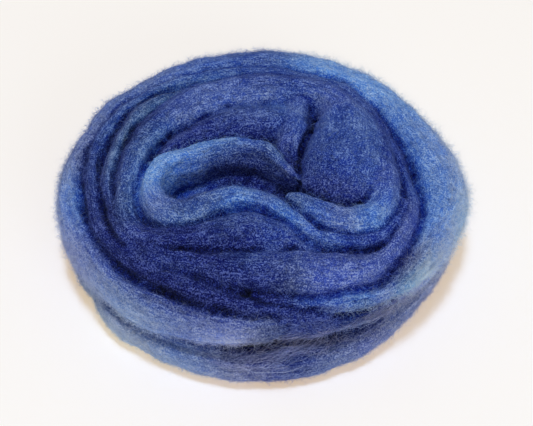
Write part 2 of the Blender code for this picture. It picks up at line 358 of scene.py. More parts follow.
def sweep(stations, lean, rng):
    """One closed stretch: points and quads, and each point's dye, lay and combed place."""
    middles, half_widths, half_heights = stations[:, :3], stations[:, 3], stations[:, 4]
    along = np.gradient(middles, axis=0)
    travelled = np.cumsum(np.linalg.norm(along, axis=1))[:, None]
    level = along[:, :2] / np.linalg.norm(along[:, :2], axis=1)[:, None]
    angle = (tau * np.arange(RING_SIDES) / RING_SIDES)[None, :]

    girth = pi * float(np.mean(half_widths + half_heights))
    swell = waves(LUMP_LENGTHS, LUMP_RISE, travelled, rng)
    for spacing in RIDGE_SPACINGS:
        count = round(girth / spacing)
        wander = RIDGE_WANDER * np.sin(tau * (travelled / RIDGE_DRIFT + rng.random()))
        swell = swell + RIDGE_RISE * np.sin(count * angle + wander + tau * rng.random())

    def squared_off(unit):
        return np.sign(unit) * np.abs(unit) ** (2 / OVAL_POWER)

    aside = (half_widths[:, None] + swell) * squared_off(np.cos(angle))
    up = (half_heights[:, None] + swell) * squared_off(np.sin(angle))
    x = middles[:, 0, None] + level[:, 1, None] * aside - MIDDLE_X
    y = middles[:, 1, None] - level[:, 0, None] * aside - MIDDLE_Y
    z = middles[:, 2, None] + up
    points = np.stack([x, y, z], axis=-1).reshape(-1, 3) * MM

    share = (0.5 + 0.5 * np.cos(angle - radians(lean)))[..., None]
    dye = stations[:, None, 5:8] * (1 - share) + stations[:, None, 8:11] * share
    lay = np.repeat(along[:, None, :], RING_SIDES, axis=1)

    ring, side = np.mgrid[0:len(stations) - 1, 0:RING_SIDES]
    here, after = ring * RING_SIDES + side, ring * RING_SIDES + (side + 1) % RING_SIDES
    quads = np.stack([here, after, after + RING_SIDES, here + RING_SIDES], axis=-1)
    combed = np.stack(np.broadcast_arrays(aside, up, travelled), axis=-1)
    return (points, quads.reshape(-1, 4), dye.reshape(-1, 3), lay.reshape(-1, 3),
            combed.reshape(-1, 3))


def all_stretches():
    """Every stretch swept, joined into one set of arrays, with the end caps apart."""
    rng = np.random.default_rng(11)
    tables = [fold_stations(rows) for rows in
              (TUCKED_END, CREASE_SIDE, LEFT_LOOP, RIGHT_LOOP, LOBE_AND_RIDGE)]
    tables += [turn_stations(rows) for rows in (INNER_TURN, OUTER_TURN, FLOOR_TURN)]
    leans = [DYE_LEAN] * 6 + [OUTER_DYE_LEAN, FLOOR_DYE_LEAN]
    points, quads, dyes, lays, combed, stretch, caps = [], [], [], [], [], [], []
    first = 0
    for number, (stations, lean) in enumerate(zip(tables, leans)):
        swept = sweep(stations, lean, rng)
        count = len(swept[0])
        for kept, values in zip((points, quads, dyes, lays, combed), swept):
            kept.append(values)
        quads[-1] = quads[-1] + first
        stretch.append(np.full(count, number))
        last = first + count - RING_SIDES
        caps.append(list(range(first, first + RING_SIDES))[::-1])
        caps.append(list(range(last, last + RING_SIDES)))
        first += count
    joined = [np.concatenate(k) for k in (points, quads, dyes, lays, combed, stretch)]
    return (*joined, caps)


# -------- small helpers
def pick_only(obj):
    """Select this object alone, so that an operator acts on nothing else."""
    bpy.ops.object.select_all(action="DESELECT")
    obj.select_set(True)
    bpy.context.view_layer.objects.active = obj


def apply_modifier(obj, kind, **settings):
    """Add one modifier with its settings and apply it."""
    modifier = obj.modifiers.new(kind.lower(), kind)
    for key, value in settings.items():
        setattr(modifier, key, value)
    pick_only(obj)
    bpy.ops.object.modifier_apply(modifier=modifier.name)


def mesh_object(name, points, faces):
    """A new object at the origin, with its place in its mesh."""
    mesh = bpy.data.meshes.new(name)
    mesh.from_pydata(points.tolist(), [], faces)
    obj = bpy.data.objects.new(name, mesh)
    bpy.context.scene.collection.objects.link(obj)
    return obj


def read(items, name, width):
    """A mesh's own values as rows of this width."""
    values = np.empty(len(items) * width, dtype=np.float32)
    items.foreach_get(name, values)
    return values.reshape(-1, width).astype(float)


def store(mesh, name, kind, values):
    """Keep one value for each point in the mesh, for the material to read."""
    field = {"FLOAT_VECTOR": "vector", "FLOAT_COLOR": "color"}[kind]
    attribute = mesh.attributes.new(name, kind, "POINT")
    attribute.data.foreach_set(field, np.ascontiguousarray(values, dtype=np.float32).ravel())


def unit(vectors):
    """The same directions, each of length 1."""
    return vectors / np.maximum(np.linalg.norm(vectors, axis=-1, keepdims=True), NEARLY_NONE)


# -------- the felted skin
TUFT_SIZES = ((14.0, 0.2), (5.0, 0.2), (2.6, 0.2))  # mm across, mm of rise
# The skin keeps back, because the coat and fuzz fill up the form: by the first inset (mm)
# up to the first share of the way out, and by the second from the second on.
INSET_SHARES = (0.8, 0.95)
INSETS = (0.5, 1.5)
LOW_WOOL = 18.0         # mm over the table, under which the wool is pressed
CROWN_FOLDS = 30.0      # mm over the table, above which folds felt together or part
CREASE_WIDTH = 1.1      # mm, half the width of the crease between two stretches
CREASE_DEPTH = 1.4      # mm that it is pressed in
NEXT_TURN = 25.0        # mm on along the same stretch from which it counts as another
WIDE_ROUNDS, NEAR_ROUNDS = 6, 1  # of evening: their difference shows where the skin dips
DIP = 0.25              # mm of it that makes a full crease
FOOT = 0.5              # mm over the table that stay flat
FOOT_REACH = 3.0        # mm above that over which the wool comes free
FELTED_SPOTS = (        # x, y, radius (mm): stretches felted together, with no crease
    (2, 14, 8), (6, 26, 9), (12, 36, 9), (-8, 33, 8), (-20, 31, 5),
    (55, -20, 8), (56, -6, 9), (56, 8, 9), (54, 22, 9), (49, 33, 8),
    (-57, -56, 6), (-49, -64, 7), (4, -60, 6),
)
FELTING_ROUNDS = 40     # of evening where they are
HALF_FELTED_SPOTS = (   # the same, with the crease left faint
    (-42, -67, 6), (-34, -69, 7), (-24, -72, 7), (-14, -76, 7),
)
HALF_FELTED = 0.6       # how far those have felted
PRESSED_SPOTS = (       # x, y, radius and depth (mm): pits where the folds part
    (25, 34, 4.5, 5), (23.5, 27, 4, 4), (14.5, 2, 4.5, 5), (-43, -17, 4, 3),
)
# The shelter measured with these rays paints shade into the dye.
SHELTER_RAYS = 12
SHELTER_REACH = 25.0    # mm
SHELTER_LIFT = 0.3      # mm over the skin that its rays start
SHELTER_SIDE = (0.31, 0.87, 0.39)  # any slanted direction, to measure bearings from
SHELTER_ROUNDS = 2      # of evening afterwards
DYE_ROUNDS = 3          # of evening, where the dyes of two stretches bleed together
PAINTED_SHADE_SHARE = 4.4     # how much painted shade deepens the dye where the wool shelters itself
PAINTED_SHADE_POWER = 2.2     # above 1 the painted shade tells mostly in the deep folds
CREASE_PAINTED_SHADE = 1.0      # and the painted shade in the creases


def felted_skin(points, quads, caps):
    """The swept stretches and a filled middle, felted into one closed skin."""
    skin = mesh_object("roving_skin", points, quads.tolist() + caps)
    bpy.ops.object.select_all(action="DESELECT")
    bpy.ops.mesh.primitive_uv_sphere_add(
        segments=64, ring_count=32, radius=1.0,
        location=(-MIDDLE_X * MM, -MIDDLE_Y * MM, CORE_MIDDLE * MM),
        scale=(CORE_HALF_WIDTH * MM, CORE_HALF_DEPTH * MM, CORE_HALF_HEIGHT * MM))
    bpy.context.view_layer.objects.active.name = "core"
    skin.select_set(True)
    bpy.context.view_layer.objects.active = skin
    bpy.ops.object.join()
    pick_only(skin)
    bpy.ops.object.mode_set(mode="EDIT")
    bpy.ops.mesh.select_all(action="SELECT")
    bpy.ops.mesh.normals_make_consistent(inside=False)
    bpy.ops.object.mode_set(mode="OBJECT")
    apply_modifier(skin, "REMESH", mode="VOXEL", voxel_size=FELT_GRID * MM)
    apply_modifier(skin, "SMOOTH", factor=0.5, iterations=GRID_SMOOTHING)

    # The weight of the wool presses its underside flat on the table.
    bpy.ops.object.mode_set(mode="EDIT")
    bpy.ops.mesh.select_all(action="SELECT")
    bpy.ops.mesh.bisect(plane_co=(0, 0, 0), plane_no=(0, 0, 1), use_fill=True,
                        clear_inner=True)
    bpy.ops.object.mode_set(mode="OBJECT")
    return skin


def evened(edges, values, rounds):
    """Values on the skin's points, averaged with their neighbours' this many times."""
    values = values.reshape(len(values), -1)
    ends = np.concatenate([edges[:, 0], edges[:, 1]])
    others = np.concatenate([edges[:, 1], edges[:, 0]])
    around = np.bincount(ends, minlength=len(values))
    around = np.maximum(around, 1)[:, None]
    for _ in range(rounds):
        near = np.stack([np.bincount(ends, column[others], minlength=len(values))
                         for column in values.T], axis=1)
        values = 0.5 * values + 0.5 * near / around
    return values


def crease_nearness(places, edges, stretch, travelled):
    """1 in the crease between two stretches, falling to 0 a few mm away from it."""
    a, b = edges.T
    further = np.abs(travelled[a] - travelled[b]) > NEXT_TURN
    apart = (stretch[a] != stretch[b]) | further
    borders = places[edges[apart]].mean(axis=1)
    tree = KDTree(len(borders))
    for index, place in enumerate(borders.tolist()):
        tree.insert(place, index)
    tree.balance()
    distance = np.array([tree.find(p)[2] for p in places.tolist()])
    return np.exp(-(distance / (CREASE_WIDTH * MM)) ** 2)


def cover_for_painted_shade(places, normals, faces):
    """How much of each point's view is taken up by wool within a few cm, which sets the
    painted shade on its dye.
    """
    tree = BVHTree.FromPolygons(places.tolist(), faces)
    rng = np.random.default_rng(5)
    side = unit(np.cross(normals, SHELTER_SIDE))
    other = np.cross(normals, side)
    hidden = np.zeros(len(places))
    starts = places + normals * SHELTER_LIFT * MM
    for ray in range(SHELTER_RAYS):
        lean = np.sqrt((ray + 0.5) / SHELTER_RAYS)
        bearing = rng.uniform(0, tau, len(places))[:, None]
        ways = (normals * np.sqrt(1 - lean ** 2)
                + lean * (side * np.cos(bearing) + other * np.sin(bearing)))
        for index, (start, way) in enumerate(zip(starts.tolist(), ways.tolist())):
            distance = tree.ray_cast(start, way, SHELTER_REACH * MM)[3]
            if distance is not None:
                hidden[index] += 1 - distance / (SHELTER_REACH * MM)
    return hidden / SHELTER_RAYS


def belonging(places, points, quads):
    """For each place, the nearest quad of the swept stretches and its corners' shares."""
    tree = BVHTree.FromPolygons(points.tolist(), quads.tolist())
    found = [tree.find_nearest(p) for p in places.tolist()]
    quad = quads[[f[2] for f in found]]
    start = points[quad[:, 0]]
    offset = np.array([f[0] for f in found]) - start
    one, two = points[quad[:, 1]] - start, points[quad[:, 3]] - start
    dot = lambda a, b: (a * b).sum(axis=1)
    whole = dot(one, one) * dot(two, two) - dot(one, two) ** 2
    u = (dot(two, two) * dot(one, offset) - dot(one, two) * dot(two, offset)) / whole
    v = (dot(one, one) * dot(two, offset) - dot(one, two) * dot(one, offset)) / whole
    u, v = np.clip(u, 0, 1), np.clip(v, 0, 1)
    return quad, np.stack([(1 - u) * (1 - v), u * (1 - v), u * v, (1 - u) * v], axis=1)


def shared(values, quad, shares):
    """Values of the swept points, passed on to the places that belong to them."""
    return (values[quad] * shares[..., None]).sum(axis=1)


def edges_of(mesh):
    """The two ends of each edge."""
    ends = np.empty(len(mesh.edges) * 2, dtype=np.int32)
    mesh.edges.foreach_get("vertices", ends)
    return ends.reshape(-1, 2)


def finish_skin(skin, points, quads, dyes, lays, combed, stretch):
    """Press the creases in, tease out tufts, and give every point its dye, with painted shade
    deepened into the folds and creases, and its lay.
    """
    mesh = skin.data
    places = read(mesh.vertices, "co", 3)
    normals = read(mesh.vertex_normals, "vector", 3)
    edges = edges_of(mesh)
    quad, shares = belonging(places, points, quads)
    dye, lay = shared(dyes, quad, shares), unit(shared(lays, quad, shares))
    straight = shared(combed, quad, shares)
    owner = stretch[quad[:, 0]]
    crease = crease_nearness(places, edges, owner, straight[:, 2])
    hollow = evened(edges, places, WIDE_ROUNDS) - evened(edges, places, NEAR_ROUNDS)
    concave = np.clip((hollow * normals).sum(axis=1) / (DIP * MM), 0, 1)
    crease *= concave ** 0.5
    felted = np.zeros(len(places))
    for spots, share in ((FELTED_SPOTS, 1.0), (HALF_FELTED_SPOTS, HALF_FELTED)):
        for x, y, radius in spots:
            away = np.hypot(places[:, 0] / MM - x, places[:, 1] / MM - y)
            felted = np.maximum(felted, share * np.exp(-(away / radius) ** 4))
    felted *= places[:, 2] > CROWN_FOLDS * MM
    crease *= 1 - felted
    places += (evened(edges, places, FELTING_ROUNDS) - places) * felted[:, None]

    inset = np.interp(outwards(places / MM), INSET_SHARES, INSETS)
    inset[places[:, 2] < LOW_WOOL * MM] = INSETS[0]
    lift = -(CREASE_DEPTH * crease + inset) * MM
    for size, rise in TUFT_SIZES:
        scaled = places / (size * MM)
        lift += rise * MM * np.array([noise.noise(Vector(p)) for p in scaled])
    free = np.clip((places[:, 2] - FOOT * MM) / (FOOT_REACH * MM), 0, 1)
    places += normals * (lift * free)[:, None]
    for x, y, radius, depth in PRESSED_SPOTS:
        away = np.hypot(places[:, 0] / MM - x, places[:, 1] / MM - y)
        sunk = depth * MM * np.exp(-(away / radius) ** 2)
        places[:, 2] -= np.where(places[:, 2] > CROWN_FOLDS * MM, sunk, 0)
    places[:, 2] = np.maximum(places[:, 2], 0)
    mesh.vertices.foreach_set("co", places.astype(np.float32).ravel())
    mesh.update()
    normals = read(mesh.vertex_normals, "vector", 3)

    faces = [p.vertices[:] for p in mesh.polygons]
    hidden = evened(edges, cover_for_painted_shade(places, normals, faces), SHELTER_ROUNDS)[:, 0]
    # Painted shade: the dye is deepened where the wool shelters itself and in the creases,
    # and the stored dye carries it.
    depth = PAINTED_SHADE_SHARE * hidden ** PAINTED_SHADE_POWER + CREASE_PAINTED_SHADE * crease
    plain = evened(edges, dye, DYE_ROUNDS)
    dye = plain ** (1 + depth[:, None])
    store(mesh, "dye", "FLOAT_COLOR", np.column_stack([dye, np.ones(len(dye))]))
    straight[:, 2] = straight[:, 2] / STRAND_STRETCH + STRANDS_APART * owner
    store(mesh, "combed", "FLOAT_VECTOR", straight)
    return dye, plain, lay


# -------- wool material
def add_node(tree, kind, settings=(), values=(), links=()):
    """One node with its settings, socket values and incoming links."""
    node = tree.nodes.new(kind)
    for key, value in dict(settings).items():
        setattr(node, key, value)
    for key, value in dict(values).items():
        node.inputs[key].default_value = value
    for key, source in dict(links).items():
        tree.links.new(source, node.inputs[key])
    return node


def new_material(name):
    """An empty material and its node tree."""
    material = bpy.data.materials.new(name)
    material.use_nodes = True
    material.node_tree.nodes.clear()
    return material, material.node_tree


# Single fibres are too fine to show, so the wool is mottled by the bunches that they lie in,
# drawn coarser than they are. The mottle is partly the wool's own uneven tone and partly
# painted light and shade at the scale of the fibres.
CLUMP_SIZE = 0.65       # mm across a bunch of fibres
STRAND_WIDTH = 0.8      # mm across a strand of the combed wool
STRAND_STRETCH = 10.0   # a strand runs this many times its width
STRAND_SHARE = 0.4      # of its mottle, set against 1 for the bunches
STRANDS_APART = 50      # keeps the strands of two stretches from running on as one
DRIFT_SIZE = 7.0        # mm across a lighter or darker drift
DRIFT_SHARE = 0.25      # of its mottle, in the same way
BUMP_RISE = 0.6         # mm
PALEST = 0.56           # power on the dye in the palest mottle: painted highlight where loose ends catch the light
DEEPEST = 1.8           # and in the deepest: painted shade where the wool parts


def woollen(name, roughness, mottle, on_skin):
    """Dyed wool: matt, mottled where fibres bunch and part, with painted light on the loose
    ends and painted shade where they part.

    The scales on each fibre scatter the light, which leaves no gloss but a faint cool
    sheen where the wool turns away."""
    material, tree = new_material(name)
    place = add_node(tree, "ShaderNodeTexCoord").outputs["Object"]
    # The dye attribute carries painted shade in the folds and creases, on all but the wisps.
    dye = add_node(tree, "ShaderNodeAttribute", {"attribute_name": "dye"}).outputs["Color"]
    clumps = add_node(tree, "ShaderNodeTexNoise", {},
                      {"Scale": 1 / (CLUMP_SIZE * MM), "Detail": 2.0, "Roughness": 0.6},
                      {"Vector": place}).outputs["Fac"]
    drifts = add_node(tree, "ShaderNodeTexNoise", {},
                      {"Scale": 1 / (DRIFT_SIZE * MM), "Detail": 2.0},
                      {"Vector": place}).outputs["Fac"]
    both = add_node(tree, "ShaderNodeMath", {"operation": "MULTIPLY_ADD"}, {1: DRIFT_SHARE},
                    {0: drifts, 2: clumps}).outputs["Value"]
    middle = 0.5 * (1 + DRIFT_SHARE)
    if on_skin:
        combed = add_node(tree, "ShaderNodeAttribute", {"attribute_name": "combed"})
        strands = add_node(tree, "ShaderNodeTexNoise", {},
                           {"Scale": 1 / STRAND_WIDTH, "Detail": 2.0, "Distortion": 0.3},
                           {"Vector": combed.outputs["Vector"]}).outputs["Fac"]
        both = add_node(tree, "ShaderNodeMath", {"operation": "MULTIPLY_ADD"},
                        {1: STRAND_SHARE}, {0: strands, 2: both}).outputs["Value"]
        middle += 0.5 * STRAND_SHARE
    power = add_node(tree, "ShaderNodeMapRange", {},
                     {"From Min": middle - 0.5 * mottle, "From Max": middle + 0.5 * mottle,
                      "To Min": DEEPEST, "To Max": PALEST}, {"Value": both})
    colour = add_node(tree, "ShaderNodeGamma", {}, {},
                      {"Color": dye, "Gamma": power.outputs["Result"]})
    links = {"Base Color": colour.outputs["Color"]}
    if on_skin:
        bump = add_node(tree, "ShaderNodeBump", {},
                        {"Strength": 1.0, "Distance": BUMP_RISE * MM}, {"Height": clumps})
        links["Normal"] = bump.outputs["Normal"]
    shader = add_node(tree, "ShaderNodeBsdfPrincipled", {},
                      {"Roughness": roughness, "Sheen Weight": 0.15, "Sheen Roughness": 0.45,
                       "Sheen Tint": (*linear("A9C4FF"), 1), "Specular IOR Level": 0.15},
                      links)
    add_node(tree, "ShaderNodeOutputMaterial", {}, {}, {"Surface": shader.outputs["BSDF"]})
    return material


# -------- fibres
FIBRE_THICKNESS = 0.15  # mm: real wool is 0.02 to 0.03, drawn coarser so that it shows
ROOTS_FROM = 1.0        # mm over the table, above which fibres are planted
OVER_TABLE = 0.05       # mm that they all keep above it
LIE_SPREAD = 0.6        # radians that a fibre strays from the lie of the wool
COAT_FIBRES = 25_000    # in each piece of the coat
COAT_PIECES = 2
COAT_LENGTHS = (2.5, 7.0)  # mm
COAT_BEND = 0.2         # radians a mm
COAT_RISE, COAT_MOST_RISE = 0.35, 1.6  # mm off the skin, on average and at most
COAT_LOWEST = 0.03      # mm
COAT_ARCHES = (         # shares of the rise at a fibre's root, middle and tip
    (-0.1, 1.0, 0.3), (0.3, 1.0, -0.1),
)
SWIRL_SIZE = 9.0        # mm over which the lie of the felted fibres turns
SWIRL_TURN = 4.0        # radians that it turns at most
FUZZ_FIBRES = 33_000    # in each piece of the fuzz
FUZZ_PIECES = 2
FUZZ_LENGTH = 1.5       # mm at least
FUZZ_MORE, FUZZ_MOST_MORE = 1.8, 4.0  # mm beyond that, on average and at most
FUZZ_LEANS = (0.2, 1.3)  # radians off the skin, at the root
FUZZ_DROOPS = (-0.2, 1.0)  # radians less at the tip
FUZZ_ROOT = 0.1         # mm under the skin
FUZZ_CREASED = 0.4      # share of the length that is left in a crease
FUZZ_POWER = 0.95       # on the dye
FUZZ_PALER = 0.15       # less than that in the open: painted light
FUZZ_FINENESS = 0.6     # share of the fibre's thickness
EDGE_STARTS = 0.88      # share of the way out from which the fuzz is closer and paler, the paleness painted light along the edge
EDGE_CROWDING = 7.0     # how many times closer together its roots are there
EDGE_PALER = 0.5
EDGE_FINENESS = 0.75
AIRLESS = 0.15          # painted shade on the dye at which the fuzz is short and dark
TEASED_AT = 70.0        # mm to the right of the middle where the edge is teased out most
# The teased edge: its fuzz longer, and paler as painted light.
TEASED_LONGER, TEASED_PALER = 0.3, 0.12
LOW_SHORTER = 0.4
HALO_FIBRES = 7_000
HALO_LENGTHS = (3.5, 9.0)  # mm
HALO_KNOTS = 4
HALO_LEANS = (0.25, 1.1)  # radians off the skin, at the root
HALO_CURLS = (0.6, 2.2)  # radians that it curls back
HALO_STRAY = 0.4        # sideways, at each knot
HALO_ROOT = 0.2         # mm under the skin
HALO_SHADED = 0.65      # share of the skin's dye with its painted shade in it, the rest being the plain dye


class Surface:
    """The skin as arrays, for planting fibres on it."""

    def __init__(self, skin, dye, plain, lay):
        mesh = skin.data
        mesh.calc_loop_triangles()
        corners = np.empty(len(mesh.loop_triangles) * 3, dtype=np.int32)
        mesh.loop_triangles.foreach_get("vertices", corners)
        self.places = read(mesh.vertices, "co", 3)
        self.normals = read(mesh.vertex_normals, "vector", 3)
        self.dye, self.plain, self.lay = dye, plain, lay
        corners = corners.reshape(-1, 3)
        high = self.places[corners, 2].min(axis=1) > ROOTS_FROM * MM
        self.corners = corners[high]
        a, b, c = (self.places[self.corners[:, k]] for k in range(3))
        self.area = np.linalg.norm(np.cross(b - a, c - a), axis=1)
        self.tree = BVHTree.FromPolygons(self.places.tolist(), corners.tolist())

    def roots(self, count, rng, outside=1.0):
        """Random points of the skin, with the normal, dye, plain dye and lay there.

        Outside is how many times closer together they are around the nest's edge."""
        edge = outwards(self.places[self.corners].mean(axis=1) / MM) > EDGE_STARTS
        chance = self.area * np.where(edge, outside, 1)
        chosen = rng.choice(len(chance), size=count, p=chance / chance.sum())
        one, two = rng.random(count), rng.random(count)
        fold = one + two > 1
        one[fold], two[fold] = 1 - one[fold], 1 - two[fold]
        weight = np.column_stack([1 - one - two, one, two])[..., None]
        return [(values[self.corners[chosen]] * weight).sum(axis=1)
                for values in (self.places, self.normals, self.dye, self.plain, self.lay)]

    def lay_down(self, paths, heights):
        """Move each point of the paths to its height over the skin."""
        flat = paths.reshape(-1, 3)
        found = [self.tree.find_nearest(p)[:2] for p in flat.tolist()]
        ground = np.array([f[0] for f in found]).reshape(paths.shape)
        up = np.array([f[1] for f in found]).reshape(paths.shape)
        return ground + up * heights[..., None], up


def fibre_mesh(name, paths, up, thickness, dye):
    """One closed needle per path: three-sided, pointed at both ends."""
    count, knots = paths.shape[:2]
    run = unit(np.gradient(paths, axis=1))
    side = unit(np.cross(run, up))
    over = unit(np.cross(side, run))
    inner, rings, per = slice(1, knots - 1), knots - 2, 2 + 3 * (knots - 2)
    points = np.empty((count, per, 3))
    points[:, 0], points[:, -1] = paths[:, 0], paths[:, -1]
    for k in range(3):
        angle = tau * k / 3 + pi / 2
        offset = cos(angle) * side[:, inner] + sin(angle) * over[:, inner]
        points[:, 1 + k:-1:3] = paths[:, inner] + offset * (thickness / 2)[:, None, None]
    points[..., 2] = np.maximum(points[..., 2], OVER_TABLE * MM)

    # The map lays each fibre in a small square of its own, root to tip from left to right.
    step = 1 / (knots - 1)
    corners, layout = [], []
    for k in range(3):
        near, far = 1 + k, 1 + (k + 1) % 3
        corners.append((0, far, near))
        layout.append(((0, 0.5), (step, 1), (step, 0)))
        for ring in range(rings - 1):
            a, b, u = near + 3 * ring, far + 3 * ring, (ring + 1) * step
            corners += [(a, b, b + 3), (a, b + 3, a + 3)]
            layout += [((u, 0), (u, 1), (u + step, 1)),
                       ((u, 0), (u + step, 1), (u + step, 0))]
        corners.append((per - 1, near + 3 * rings - 3, far + 3 * rings - 3))
        layout.append(((1, 0.5), (1 - step, 0), (1 - step, 1)))
    faces = (np.array(corners)[None] + per * np.arange(count)[:, None, None]).reshape(-1, 3)
    obj = mesh_object(name, points.reshape(-1, 3), faces.tolist())
    across = int(np.ceil(np.sqrt(count)))
    square = np.column_stack(np.divmod(np.arange(count), across))[:, None, None]
    spots = (square + 0.1 + 0.8 * np.array(layout)[None]) / across
    layer = obj.data.uv_layers.new(name="OFBake")
    layer.data.foreach_set("uv", spots.astype(np.float32).ravel())
    colours = np.repeat(np.column_stack([dye, np.ones(count)]), per, axis=0)
    store(obj.data, "dye", "FLOAT_COLOR", colours)
    return obj


def shade_of(dye, rng, spread, power):
    """Each fibre's dye: a power over 1 makes it a deeper blue, under 1 a paler one."""
    return dye ** (power * np.exp(rng.normal(0, spread, len(dye))))[:, None]


def painted_shade_depth(dye, plain):
    """How much painted shade deepens the dye, 0 on open faces."""
    return np.log(dye).mean(axis=1) / np.log(plain).mean(axis=1) - 1


def along_skin(normal, lay, turn):
    """Directions in the skin, turned from the lay by these angles."""
    forward = unit(lay - (lay * normal).sum(axis=1, keepdims=True) * normal)
    return forward * np.cos(turn)[:, None] + np.cross(normal, forward) * np.sin(turn)[:, None]


def coat(name, surface, count, seed):
    """Fibres that lie on the skin in small swirls, partly along the stretch."""
    rng = np.random.default_rng(seed)
    place, normal, dye, _, lay = surface.roots(count, rng)
    swirl = np.array([noise.noise(Vector(p)) for p in place / (SWIRL_SIZE * MM)])
    run = along_skin(normal, lay, SWIRL_TURN * swirl + rng.normal(0, LIE_SPREAD, count))
    across = np.cross(normal, run)
    length = rng.uniform(*COAT_LENGTHS, count) * MM
    bend = rng.normal(0, COAT_BEND, count) / MM
    s = np.array([-0.5, 0.0, 0.5])[None, :] * length[:, None]
    paths = (place[:, None] + run[:, None] * s[..., None]
             + across[:, None] * (0.5 * bend[:, None] * s ** 2)[..., None])
    rise = np.minimum(rng.exponential(COAT_RISE, count), COAT_MOST_RISE) * MM
    arch = np.array(COAT_ARCHES)[rng.integers(0, len(COAT_ARCHES), count)]
    heights = rise[:, None] * arch + COAT_LOWEST * MM
    paths, up = surface.lay_down(paths, heights)
    thickness = rng.uniform(0.8, 1.2, count) * FIBRE_THICKNESS * MM
    # The coat takes the skin's dye, painted shade and all.
    return fibre_mesh(name, paths, up, thickness, shade_of(dye, rng, 0.3, 0.95))


def fuzz(name, surface, count, seed):
    """Short fine ends all over, which blur the edge of every fold.

    They stand freely where the wool is open to the air, paler there as painted light and
    most of all along the nest's edge, and lie short in the creases, dark with the painted
    shade. The nest's edge is teased out towards its right, and pressed near the table."""
    rng = np.random.default_rng(seed)
    place, normal, dye, plain, lay = surface.roots(count, rng, EDGE_CROWDING)
    air = np.clip(1 - painted_shade_depth(dye, plain) / AIRLESS, 0, 1)
    edge = outwards(place / MM) > EDGE_STARTS
    low = place[:, 2] < LOW_WOOL * MM
    teased = np.where(edge & ~low, np.clip(place[:, 0] / (TEASED_AT * MM), 0, 1), 0)
    turn = rng.normal(0, LIE_SPREAD, count) + pi * rng.integers(0, 2, count)
    run = along_skin(normal, lay, turn)
    length = FUZZ_LENGTH + np.minimum(rng.exponential(FUZZ_MORE, count), FUZZ_MOST_MORE)
    length = length * (FUZZ_CREASED + (1 - FUZZ_CREASED) * air)
    length = (length * (1 + TEASED_LONGER * teased - LOW_SHORTER * low))[:, None] * MM
    lean = rng.uniform(*FUZZ_LEANS, count)[:, None]
    droop = lean - rng.uniform(*FUZZ_DROOPS, count)[:, None]
    middle = place + 0.5 * length * (run * np.cos(lean) + normal * np.sin(lean))
    tip = middle + 0.5 * length * (run * np.cos(droop) + normal * np.sin(droop))
    paths = np.stack([place - normal * FUZZ_ROOT * MM, middle, tip], axis=1)
    up = np.repeat(normal[:, None], 3, axis=1)
    thickness = rng.uniform(0.6, 1.0, count) * np.where(edge, EDGE_FINENESS, FUZZ_FINENESS)
    thickness = thickness * FIBRE_THICKNESS * MM
    # Painted light: fuzz in the open is paler, most of all along the edge.
    power = FUZZ_POWER - air * np.where(edge, EDGE_PALER + TEASED_PALER * teased, FUZZ_PALER)
    return fibre_mesh(name, paths, up, thickness, shade_of(dye, rng, 0.15, power))


def halo(name, surface, count, seed):
    """Loose ends that stand off the wool and curl back."""
    rng = np.random.default_rng(seed)
    place, normal, dye, plain, lay = surface.roots(count, rng)
    run = along_skin(normal, lay, rng.uniform(0, tau, count))
    aside = np.cross(normal, run)
    length = rng.uniform(*HALO_LENGTHS, count) * MM
    lean = rng.uniform(*HALO_LEANS, count)
    curl = rng.uniform(*HALO_CURLS, count)
    paths = np.empty((count, HALO_KNOTS, 3))
    paths[:, 0] = place - normal * HALO_ROOT * MM
    for k in range(1, HALO_KNOTS):
        angle = (lean - curl * (k - 1) / (HALO_KNOTS - 1))[:, None]
        step = (run * np.cos(angle) + normal * np.sin(angle)
                + aside * rng.normal(0, HALO_STRAY, count)[:, None])
        paths[:, k] = paths[:, k - 1] + unit(step) * (length / (HALO_KNOTS - 1))[:, None]
    up = np.repeat(normal[:, None], HALO_KNOTS, axis=1)
    thickness = rng.uniform(0.6, 0.9, count) * FUZZ_FINENESS * FIBRE_THICKNESS * MM
    # The halo takes part of the skin's painted shade.
    mixed = HALO_SHADED * dye + (1 - HALO_SHADED) * plain
    return fibre_mesh(name, paths, up, thickness, shade_of(mixed, rng, 0.2, 0.7))


WISP_FIBRES = 320
WISP_LOCKS = 34         # locks that they hang together in
WISP_KNOTS = 16
WISP_BEARINGS = (256, 288, 325)  # degrees: where they begin, are thickest and end
WISP_REACHES = (12, 36)  # mm, end to end
WISP_CRIMPS = (5, 10)   # mm, wave to wave
WISP_CRIMP_RISES = (0.2, 0.9)  # mm
WISP_SHAKE = 0.22       # mm, at each knot
WISP_STAND, WISP_MORE_STAND, WISP_MOST_STAND = 0.15, 0.5, 2.5  # mm off the wool
WISP_ENDS = 0.05        # mm off it, at both ends
LOCK_LEVELS, LOCK_SLOPES = 3.0, 5.0  # mm that locks stray up or down, and slope
OWN_WAY = {             # how far a fibre strays from the rest of its lock
    "bearing": 2.5, "level": 0.9, "slope": 2.0, "crimp": 0.4, "phase": 0.1,
}
WISPS_OUT = 95.0        # mm from the middle of the nest, about where they lie
WISPS_FROM = 130.0      # mm out, from where they are drawn back onto the wool
WISP_LEVELS = (         # bearing and height (mm) of the parting that they cross
    (255, 20.0), (270, 22.5), (285, 25.5), (300, 26.5), (312, 25.5), (325, 22.0),
    (340, 19.0),
)
WISP_DYES = {"lilac": 0.5, "haze": 0.3, "lavender": 0.2}  # and their shares


